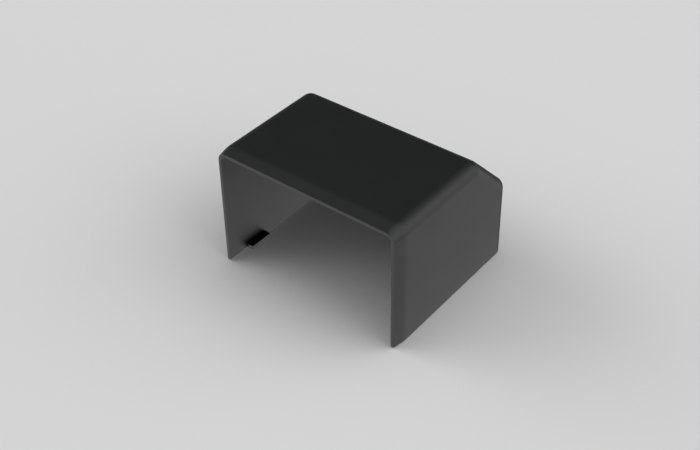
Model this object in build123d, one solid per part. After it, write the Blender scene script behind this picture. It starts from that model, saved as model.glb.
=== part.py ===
from build123d import *
import os

os.makedirs("parts", exist_ok=True)

# Profile end cap: a one-piece moulded hood that closes the end of a surface-mounted profile.
# The profile enters through the open mouth, and the cap stands on its open underside.
# Frame: X is the width, the mouth faces -Y, Z is up.
# The origin is the middle of the footprint, on the plane of the bottom rim.
# All lengths are in millimetres and all angles in degrees.

# Overall size
width = 60.0  # outside, across the two side walls at the bottom rim
height = 38.0  # from the bottom rim to the top face
depth = 51.5  # from the mouth to the outside of the rear wall, at the bottom rim

# Moulded shell
wall = 1.7  # thickness of the top, the sides, the rear and the slope
inside_radius = 1.5  # rounding of every inside edge where two walls meet
draft_angle = 0.5  # lean of the side and rear walls, so that the cap leaves its mould
slope_leg = 14.5  # length that the 45 degree slope takes from the top, and from the rear wall

# Thinned lip round the mouth
lip_drop = 0.7  # how far the outside falls in at the edge of the mouth
lip_length = 3.7  # how far the taper runs back from the mouth
lip_blend_radius = 8.0  # soft fold where the taper runs into the body

# Snap tabs inside the two side walls, level with the bottom rim
tab_start = 7.2  # from the mouth to the near end of a tab
tab_length = 7.6  # along the wall
tab_reach = 2.2  # from the inner face of the wall towards the middle
tab_thickness = 1.3  # from the bottom rim up to the catching face
tab_bevel = 0.4  # lead-in under the tab's inner edge, for the flange of the profile

# Edges of the mouth rim and of the bottom rim
edge_break = 0.1  # small rounding that the mould leaves on them

# Sizes that follow from those above
outside_radius = inside_radius + wall
inner_half_width = width / 2 - wall
front_y = -depth / 2
tolerance = 1e-4


# Block of the outside, before it is hollowed

# The footprint is pulled up to the full height.
# The side and rear walls then lean in about the bottom plane, as the mould needs.
# The mouth stays square to the profile, so its face has no draft.
footprint = Rectangle(width, depth)
block = extrude(footprint, amount=height)
sides = block.faces().filter_by(Axis.X)
rear = block.faces().sort_by(Axis.Y)[-1]
block = draft([*sides, rear], neutral_plane=Plane.XY, angle=draft_angle)

# The slope takes away the corner between the top and the rear wall.
top_face = block.faces().sort_by(Axis.Z)[-1]
top_rear_edge = top_face.edges().sort_by(Axis.Y)[-1]
block = chamfer(top_rear_edge, length=slope_leg)

# One radius goes round every outer fold: top to sides, top to slope, slope to rear, sides to rear.
# The edges that bound the mouth and the underside stay sharp, because those two faces are opened.
mouth_edges = block.faces().sort_by(Axis.Y)[0].edges()
bottom_edges = block.faces().sort_by(Axis.Z)[0].edges()
folds = [e for e in block.edges() if e not in mouth_edges and e not in bottom_edges]
block = fillet(folds, radius=outside_radius)


# Inner space

# The walls keep one thickness everywhere, so the inner space is the block moved in by the wall.
# It is open at the mouth and underneath.
mouth = block.faces().sort_by(Axis.Y)[0]
underside = block.faces().sort_by(Axis.Z)[0]
plain_shell = offset(block, amount=-wall, openings=[mouth, underside])
inner_space = block - plain_shell


# Lip round the mouth

# The outside tapers towards the mouth on both sides and over the top, and round their corners.
# The inner space stays straight, so the wall thins to a narrow rim.
lip_edges = [e for e in mouth.edges() if (e @ 0.5).Z > tolerance]
block = chamfer(lip_edges, length=lip_drop, length2=lip_length, reference=mouth)

# Where the taper meets the body, a large radius makes the fold soft.
lip_fold_y = front_y + lip_length
lip_folds = block.edges().filter_by_position(
    Axis.Y, lip_fold_y - tolerance, lip_fold_y + tolerance
)
block = fillet(lip_folds, radius=lip_blend_radius)
cap = block - inner_space


# Snap tabs

# The section is drawn looking along the profile: a flat catching face on top and a bevel below.
# Its root lies in the middle of the wall, so that tab and wall are one moulding.
tab_tip = inner_half_width - tab_reach
tab_root = inner_half_width + wall / 2
tab_section = Polyline(
    (tab_root, 0),
    (tab_tip + tab_bevel, 0),
    (tab_tip, tab_bevel),
    (tab_tip, tab_thickness),
    (tab_root, tab_thickness),
    close=True,
)
tab_near_end = Plane.XZ.offset(-(front_y + tab_start))
tab = extrude(tab_near_end * make_face(tab_section), amount=-tab_length)
cap = cap + tab + mirror(tab, about=Plane.YZ)


# Broken edges

# The rim of the mouth and the foot are the two flat faces that bound the openings.
# The tabs' undersides are part of the foot. No edge of either face is left razor sharp.
foot_edges = cap.faces().sort_by(Axis.Z)[0].edges()
mouth_rim_edges = cap.faces().sort_by(Axis.Y)[0].edges()
sharp_edges = foot_edges + [e for e in mouth_rim_edges if e not in foot_edges]
cap = fillet(sharp_edges, radius=edge_break)

print("cap volume mm3", round(cap.volume, 1), "valid", cap.is_valid, "solids", len(cap.solids()))
export_step(cap, "parts/end_cap.step")
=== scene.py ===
# %% [markdown]
# # Profile end cap
# A black moulded hood that closes the end of a surface-mounted profile, standing on a pale studio floor.
# This file is a lesson in finishing a part whose shape is already right: it gives the cap its skin,
# then sets up the floor, the light and the camera of a product picture.
# Everything is in metres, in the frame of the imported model, with the mouth of the cap facing -Y.

# %% Load the frame
import math

import bpy
from mathutils import Matrix, Vector


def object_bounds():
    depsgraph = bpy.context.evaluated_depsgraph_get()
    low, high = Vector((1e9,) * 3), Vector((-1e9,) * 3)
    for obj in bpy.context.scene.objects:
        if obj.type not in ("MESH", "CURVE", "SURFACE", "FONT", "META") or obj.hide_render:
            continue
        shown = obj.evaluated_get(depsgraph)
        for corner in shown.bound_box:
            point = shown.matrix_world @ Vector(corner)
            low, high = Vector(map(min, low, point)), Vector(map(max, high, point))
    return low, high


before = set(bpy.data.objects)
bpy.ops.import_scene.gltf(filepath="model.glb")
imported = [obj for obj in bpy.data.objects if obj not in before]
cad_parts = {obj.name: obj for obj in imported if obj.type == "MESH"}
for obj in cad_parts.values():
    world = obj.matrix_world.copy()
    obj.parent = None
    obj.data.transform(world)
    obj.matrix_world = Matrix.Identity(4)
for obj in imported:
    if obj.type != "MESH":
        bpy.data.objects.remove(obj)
cad_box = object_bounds()
MM = 0.001
print("nodes in the frame:", sorted(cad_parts))

# %% [markdown]
# ## The cap
# The real cap is one injection moulding: thin drafted walls, a 45 degree slope at the rear,
# one rounding round every outer fold, a tapered lip round the mouth, and a snap tab inside each wall.
# It could be built here again, from a block with bevels or as a shell grown by Geometry Nodes.
# Both would only come close to a shape that the solid already has exactly, with exact normals,
# so the solid's own mesh stays as it is, and only its material is new.

# %% Measure the cap
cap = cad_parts["end_cap"]
print("cap", [round(float(v) / MM, 2) for v in cad_box[1] - cad_box[0]], "mm")
print("mesh", len(cap.data.polygons), "faces, material slots", len(cap.material_slots))

# %% [markdown]
# ## Colours
# Colours are written as sRGB hex values, the way they are picked on a screen.
# Shaders add up light, so they need linear numbers. One function makes the change for every colour.

# %% Colour helper


def linear(hex_code):
    """'#rrggbb' in sRGB to a linear RGBA tuple."""
    channels = [int(hex_code[i:i + 2], 16) / 255 for i in (1, 3, 5)]
    parts = [c / 12.92 if c <= 0.04045 else ((c + 0.055) / 1.055) ** 2.4 for c in channels]
    return (*parts, 1.0)


print("mid grey #808080 is", round(linear("#808080")[0], 3), "in linear light")

# %% [markdown]
# ## Nodes
# A material is a tree of nodes. One small function adds a node, sets its properties,
# and fills each of its inputs with a plain value or with a link from another node.

# %% Node helper


def add_node(tree, kind, inputs=None, **settings):
    node = tree.nodes.new(kind)
    for name, value in settings.items():
        setattr(node, name, value)
    for name, value in (inputs or {}).items():
        if isinstance(value, bpy.types.NodeSocket):
            tree.links.new(value, node.inputs[name])
        else:
            node.inputs[name].default_value = value
    return node


def new_material(name):
    material = bpy.data.materials.new(name)
    material.use_nodes = True
    material.node_tree.nodes.clear()
    return material


skin = new_material("black_moulded_abs")
skin_tree = skin.node_tree
place = add_node(skin_tree, "ShaderNodeTexCoord").outputs["Object"]
print("empty material", skin.name, "with patterns placed by Object coordinates")

# %% [markdown]
# ## Grain of the skin
# Sparks ate the walls of the steel mould into fine pits, and the plastic copied them as a satin grain.
# It could be a picture of a texture, but that would need an unwrapped mesh and would stretch at the folds.
# Noise on Object coordinates runs through the whole solid and meets itself at every edge.
# Such grain is 0.05 to 0.1 mm wide, too fine for this picture, so it is drawn 0.5 mm wide and very shallow.
# The rim of the mouth has none: there the two halves of the mould shut on each other, on ground steel.
# A threshold on Y finds that rim, and its roundings with it.

# %% Grain
GRAIN_WIDTH = 0.5 * MM
GRAIN_DEPTH = 0.003 * MM
GRAIN_LAYERS = 3.0
GRAIN_ROUGHNESS = 0.6
RIM_DEPTH = 0.15 * MM


def calculate(operation, first, second=0.0):
    return add_node(skin_tree, "ShaderNodeMath", {0: first, 1: second}, operation=operation).outputs["Value"]


axes = add_node(skin_tree, "ShaderNodeSeparateXYZ", {"Vector": place}).outputs
mouth_y = float(cad_box[0][1])
rim = calculate("LESS_THAN", axes["Y"], mouth_y + RIM_DEPTH)
grain = add_node(skin_tree, "ShaderNodeTexNoise", {
    "Vector": place,
    "Scale": 1 / GRAIN_WIDTH,
    "Detail": GRAIN_LAYERS,
    "Roughness": GRAIN_ROUGHNESS,
})
grain_bump = add_node(skin_tree, "ShaderNodeBump", {
    "Height": grain.outputs["Fac"],
    "Strength": calculate("SUBTRACT", 1.0, rim),
    "Distance": GRAIN_DEPTH,
})
print("grain", round(GRAIN_WIDTH / MM, 2), "mm wide,", round(GRAIN_DEPTH / MM, 4), "mm deep")
print("bare rim up to Y", round((mouth_y + RIM_DEPTH) / MM, 2), "mm")

# %% [markdown]
# ## Ejector marks
# Inside the top, where no user looks, four round pins pushed the cap off its core.
# Each leaves a faint disc a few hundredths of a millimetre deep, so it is bump and not geometry.
# The four are one disc: folding X and Y with the absolute value lays all of them on top of each other.
# Two thresholds on Z keep the discs on the underside of the top, and off its outside.

# %% Ejector marks
PIN_RADIUS = 2.0 * MM
PIN_BLUR = 0.1 * MM
PIN_FROM_MIDDLE = (17 * MM, 8 * MM)
PIN_MIDDLE_Y = -9 * MM
PIN_DEPTH = 0.03 * MM
UNDER_THE_TOP = (34 * MM, 37 * MM)

from_middle_y = calculate("SUBTRACT", axes["Y"], PIN_MIDDLE_Y)
across = calculate("SUBTRACT", calculate("ABSOLUTE", axes["X"]), PIN_FROM_MIDDLE[0])
along = calculate("SUBTRACT", calculate("ABSOLUTE", from_middle_y), PIN_FROM_MIDDLE[1])
squares = calculate("ADD", calculate("MULTIPLY", across, across), calculate("MULTIPLY", along, along))
disc = add_node(skin_tree, "ShaderNodeMapRange", {
    "Value": calculate("SQRT", squares),
    "From Min": PIN_RADIUS - PIN_BLUR,
    "From Max": PIN_RADIUS + PIN_BLUR,
    "To Min": 1.0,
    "To Max": 0.0,
})
above = calculate("GREATER_THAN", axes["Z"], UNDER_THE_TOP[0])
below = calculate("LESS_THAN", axes["Z"], UNDER_THE_TOP[1])
marks = calculate("MULTIPLY", disc.outputs["Result"], calculate("MULTIPLY", above, below))
mark_bump = add_node(skin_tree, "ShaderNodeBump", {
    "Height": marks,
    "Distance": PIN_DEPTH,
    "Normal": grain_bump.outputs["Normal"],
}, invert=True)
print("ejector marks", round(2 * PIN_RADIUS / MM, 1), "mm across, at",
      [round(v / MM, 1) for v in PIN_FROM_MIDDLE], "mm each way")

# %% [markdown]
# ## Gloss
# Three things change the gloss of a moulded skin.
# Where the melt pressed harder on the steel it copied the pits better and shines less.
# Those patches are about a centimetre wide and faint: here roughness moves by 0.06.
# The ground rim of the mouth is smoother, and draws a thin light line round the opening.
# The third is the angle. Smooth plastic seen nearly edge-on turns into a mirror and gets a white outline,
# but the pits of a textured skin hide each other there, and the outline of the real cap stays dark.
# Layer Weight's Facing says how edge-on a surface is seen, and raises the roughness towards 1.

# %% Gloss
CLOUD_WIDTH = 9 * MM
CLOUD_LAYERS = 2.0
SKIN_ROUGHNESS = (0.45, 0.51)
RIM_ROUGHNESS = 0.34
EDGE_ON = (0.60, 0.90)
EDGE_ON_ROUGHNESS = 1.0

clouds = add_node(skin_tree, "ShaderNodeTexNoise", {
    "Vector": place,
    "Scale": 1 / CLOUD_WIDTH,
    "Detail": CLOUD_LAYERS,
})
pressed = add_node(skin_tree, "ShaderNodeMapRange", {
    "Value": clouds.outputs["Fac"],
    "To Min": SKIN_ROUGHNESS[0],
    "To Max": SKIN_ROUGHNESS[1],
})
rim_gloss = add_node(skin_tree, "ShaderNodeMapRange", {
    "Value": rim,
    "To Min": pressed.outputs["Result"],
    "To Max": RIM_ROUGHNESS,
})
gloss = add_node(skin_tree, "ShaderNodeMapRange", {
    "Value": add_node(skin_tree, "ShaderNodeLayerWeight").outputs["Facing"],
    "From Min": EDGE_ON[0],
    "From Max": EDGE_ON[1],
    "To Min": rim_gloss.outputs["Result"],
    "To Max": EDGE_ON_ROUGHNESS,
}, interpolation_type="SMOOTHSTEP")
print("roughness", SKIN_ROUGHNESS, "face on,", EDGE_ON_ROUGHNESS, "edge-on")

# %% [markdown]
# ## Black ABS
# The plastic is ABS coloured black right through with carbon pigment, so hardly any light comes out of it.
# A trace of green is left, which shows on the top where nothing bright is reflected.
# All that the eye gets is the reflection on the skin. ABS bends light by about 1.54,
# and 1.56, as in its blends with polycarbonate, gives the walls their brightness.

# %% Put the skin on the cap
PIGMENT = "#0a0e0c"
ABS_IOR = 1.56

plastic = add_node(skin_tree, "ShaderNodeBsdfPrincipled", {
    "Base Color": linear(PIGMENT),
    "IOR": ABS_IOR,
    "Roughness": gloss.outputs["Result"],
    "Normal": mark_bump.outputs["Normal"],
})
add_node(skin_tree, "ShaderNodeOutputMaterial", {"Surface": plastic.outputs["BSDF"]})
cap.data.materials[0] = skin
print("finish", cap.data.materials[0].name, "made of", len(skin_tree.nodes), "nodes")

# %% [markdown]
# ## Colour of the card, with painted shadow
# The cap stands on matt grey card, whose shadow deepens right round the foot of the cap.
# The broad patches of light below can't make it as deep, and smaller ones would give it hard edges, so that
# depth is painted shadow.
# Ambient Occlusion measures how open the space above a spot is, and darkens the card's colour where the cap
# shuts it in.

# %% Card colour
CARD_COLOUR = "#e6e6e6"
SHUT_IN_SHADE = 0.7
SHADE_REACH = 80 * MM


def card_colour_with_painted_shadow(tree):
    """Colour of the card, darkened by painted shadow where the cap shuts in the space above it."""
    # Painted shadow: the card's colour is darkened round the foot of the cap by ambient occlusion.
    openness = add_node(tree, "ShaderNodeAmbientOcclusion", {"Distance": SHADE_REACH}).outputs["AO"]
    shade = add_node(tree, "ShaderNodeMapRange", {"Value": openness, "To Min": SHUT_IN_SHADE, "To Max": 1.0})
    colour = add_node(tree, "ShaderNodeVectorMath", {
        0: linear(CARD_COLOUR)[:3],
        "Scale": shade.outputs["Result"],
    }, operation="SCALE")
    return colour.outputs["Vector"]


print("card", CARD_COLOUR, "dimmed to", SHUT_IN_SHADE, "within", round(SHADE_REACH / MM), "mm of the cap")

# %% [markdown]
# ## Tone of the card in the gloss, a painted reflection
# In a real studio the walls of the cap mirror the wide bright ground and not only their own shadow on it.
# A bigger and brighter floor would show them that, but would also wash the shadow out.
# So the card has a second tone, for reflections alone: a glow that only the gloss sees, a painted
# reflection.
# It is a little brighter on the left, which takes in the card inside the mouth of the cap, and dimmer on the
# right.

# %% Card tone in gloss
TONE_IN_GLOSS = (1.0, 0.785)
TONE_CHANGES = (10 * MM, 45 * MM)


def painted_reflection_tone(tree):
    """Strength of the painted reflection tone that the gloss of the cap sees, from the left of the card to
    the right.
    """
    spot = add_node(tree, "ShaderNodeTexCoord").outputs["Object"]
    tone = add_node(tree, "ShaderNodeMapRange", {
        "Value": add_node(tree, "ShaderNodeSeparateXYZ", {"Vector": spot}).outputs["X"],
        "From Min": TONE_CHANGES[0],
        "From Max": TONE_CHANGES[1],
        "To Min": TONE_IN_GLOSS[0],
        "To Max": TONE_IN_GLOSS[1],
    }, interpolation_type="SMOOTHSTEP")
    return tone.outputs["Result"]


print("tone in gloss", TONE_IN_GLOSS, "from X", [round(x / MM) for x in TONE_CHANGES], "mm")

# %% [markdown]
# ## Floor
# Light Path's Is Glossy Ray picks between the two: reflections get the painted tone, everything else the
# card.
# A faint glow of the card itself stands for the light that bounces about under the cap.
# One plane, much wider than the picture, is enough, so no edge or horizon shows.
# Thin walls come out of the mould slightly bowed, so the foot touches the card at a few points only.
# The card lies 0.4 mm lower, and the light that gets in under the left wall draws a thin line there.

# %% Floor
CARD_ROUGHNESS = 0.9
CARD_GLOW = 0.027
FLOOR_SIZE = 20.0
FLOOR_GAP = 0.4 * MM


def matt_card():
    material = new_material("matt_grey_card")
    tree = material.node_tree
    card = add_node(tree, "ShaderNodeBsdfPrincipled", {
        "Base Color": card_colour_with_painted_shadow(tree),
        "Roughness": CARD_ROUGHNESS,
        "Specular IOR Level": 0.0,
        "Emission Color": (1, 1, 1, 1),
        "Emission Strength": CARD_GLOW,
    })
    # Painted reflection: a glow that only reflections of the card see.
    tone = add_node(tree, "ShaderNodeEmission", {"Strength": painted_reflection_tone(tree)})
    surface = add_node(tree, "ShaderNodeMixShader", {
        0: add_node(tree, "ShaderNodeLightPath").outputs["Is Glossy Ray"],
        1: card.outputs["BSDF"],
        2: tone.outputs["Emission"],
    })
    add_node(tree, "ShaderNodeOutputMaterial", {"Surface": surface.outputs["Shader"]})
    return material


half = FLOOR_SIZE / 2
floor_mesh = bpy.data.meshes.new("floor")
corners = [(-half, -half, 0), (half, -half, 0), (half, half, 0), (-half, half, 0)]
floor_mesh.from_pydata(corners, [], [(0, 1, 2, 3)])
floor = bpy.data.objects.new("floor", floor_mesh)
floor.location.z = -FLOOR_GAP
floor.data.materials.append(matt_card())
bpy.context.scene.collection.objects.link(floor)
print("floor", FLOOR_SIZE, "m wide,", round(FLOOR_GAP / MM, 2), "mm below the foot of the cap")

# %% [markdown]
# ## Soft light
# A black product shows nothing but what it reflects, so its light is a matter of large soft boxes.
# Area lamps could stand in for them. Soft patches on the world are simpler: each is a direction,
# a width and a strength, has no hard edge, and lights the cap from the same side wherever it stands.
# The dot product of two directions is the cosine of the angle between them,
# and a smooth step between two such cosines makes a round patch with a soft rim.

# %% Soft patch helper


def direction(turn, height):
    """Unit vector from degrees: turn goes from +X towards +Y, height goes up from the floor."""
    turn, height = math.radians(turn), math.radians(height)
    return (math.cos(turn) * math.cos(height), math.sin(turn) * math.cos(height), math.sin(height))


def soft_patch(tree, way, turn, height, inner, outer, strength):
    """Full strength up to inner degrees from its direction, nothing beyond outer degrees."""
    toward = add_node(tree, "ShaderNodeVectorMath", {
        0: way,
        1: direction(turn, height),
    }, operation="DOT_PRODUCT")
    glow = add_node(tree, "ShaderNodeMapRange", {
        "Value": toward.outputs["Value"],
        "From Min": math.cos(math.radians(outer)),
        "From Max": math.cos(math.radians(inner)),
        "To Max": strength,
    }, interpolation_type="SMOOTHSTEP")
    return glow.outputs["Result"]


print("straight up is", [round(c, 2) for c in direction(0, 90)])

# %% [markdown]
# ## The boxes
# One hangs over the cap and gives its top a faint sheen. A wide one on the right, away from the mouth,
# throws the soft shadow that lies in front of the cap and inside it.
# Two on the left lighten that shadow and draw the one behind the right wall, and a weak one fills the front.
# The five numbers of a box are its turn, height, inner edge and outer edge in degrees, and its strength.
# The camera sees none of them: for its rays the world is the pale tone that the floor has far away.

# %% World
ROOM = 0.06
BACKDROP = 0.662
SOFT_BOXES = {
    "overhead": (60, 80, 8, 32, 1.31),
    "right": (25, 25, 20, 48, 1.51),
    "left_high": (220, 48, 6, 36, 0.79),
    "left_low": (200, 16, 8, 40, 2.28),
    "front": (330, 35, 8, 36, 0.48),
}


def studio_world():
    world = bpy.data.worlds.new("studio")
    bpy.context.scene.world = world
    world.use_nodes = True
    tree = world.node_tree
    tree.nodes.clear()
    way = add_node(tree, "ShaderNodeTexCoord").outputs["Generated"]
    light = ROOM
    for box in SOFT_BOXES.values():
        patch = soft_patch(tree, way, *box)
        light = add_node(tree, "ShaderNodeMath", {0: patch, 1: light}, operation="ADD").outputs["Value"]
    room = add_node(tree, "ShaderNodeBackground", {"Color": (1, 1, 1, 1), "Strength": light})
    backdrop = add_node(tree, "ShaderNodeBackground", {"Color": (1, 1, 1, 1), "Strength": BACKDROP})
    surface = add_node(tree, "ShaderNodeMixShader", {
        0: add_node(tree, "ShaderNodeLightPath").outputs["Is Camera Ray"],
        1: room.outputs["Background"],
        2: backdrop.outputs["Background"],
    })
    add_node(tree, "ShaderNodeOutputWorld", {"Surface": surface.outputs["Shader"]})


studio_world()
print("soft boxes", ", ".join(SOFT_BOXES))

# %% [markdown]
# ## Camera
# The picture looks down at the cap from in front of its right wall. The three angles, the distance and
# the focal length were worked out from where the corners and folds of the cap lie in the picture.
# The camera could be aimed by a constraint, but three plain angles show better what was found.

# %% Camera
PICTURE_WIDTH = 700
FOCAL_LENGTH = 1135.8  # in pixels of the picture
SENSOR_WIDTH = 36.0
NEAREST, FARTHEST = 0.01, 50.0
TURN, TILT, ROLL = 38.77, 39.01, -0.85
CAMERA_PLACE = Vector((151.66, -195.35, 210.49)) * MM


def make_camera():
    turn, tilt, roll = math.radians(TURN), math.radians(TILT), math.radians(ROLL)
    forward = Vector((-math.sin(turn) * math.cos(tilt), math.cos(turn) * math.cos(tilt), -math.sin(tilt)))
    level = Vector((math.cos(turn), math.sin(turn), 0))
    above = level.cross(forward)
    right = level * math.cos(roll) + above * math.sin(roll)
    up = above * math.cos(roll) - level * math.sin(roll)
    data = bpy.data.cameras.new("camera")
    data.sensor_width = SENSOR_WIDTH
    data.lens = SENSOR_WIDTH * FOCAL_LENGTH / PICTURE_WIDTH
    data.clip_start = NEAREST
    data.clip_end = FARTHEST
    camera = bpy.data.objects.new("camera", data)
    facing_back = Matrix((right, up, -forward)).transposed().to_4x4()
    camera.matrix_world = Matrix.Translation(CAMERA_PLACE) @ facing_back
    bpy.context.scene.collection.objects.link(camera)
    return camera


bpy.context.scene.camera = make_camera()
print("camera", round(CAMERA_PLACE.length / MM), "mm from the middle of the foot")

# %% [markdown]
# ## Colour management
# Standard shows a colour as it was written, where the default look would soften it.

# %% View transform
bpy.context.scene.view_settings.view_transform = "Standard"
print("view transform", bpy.context.scene.view_settings.view_transform)
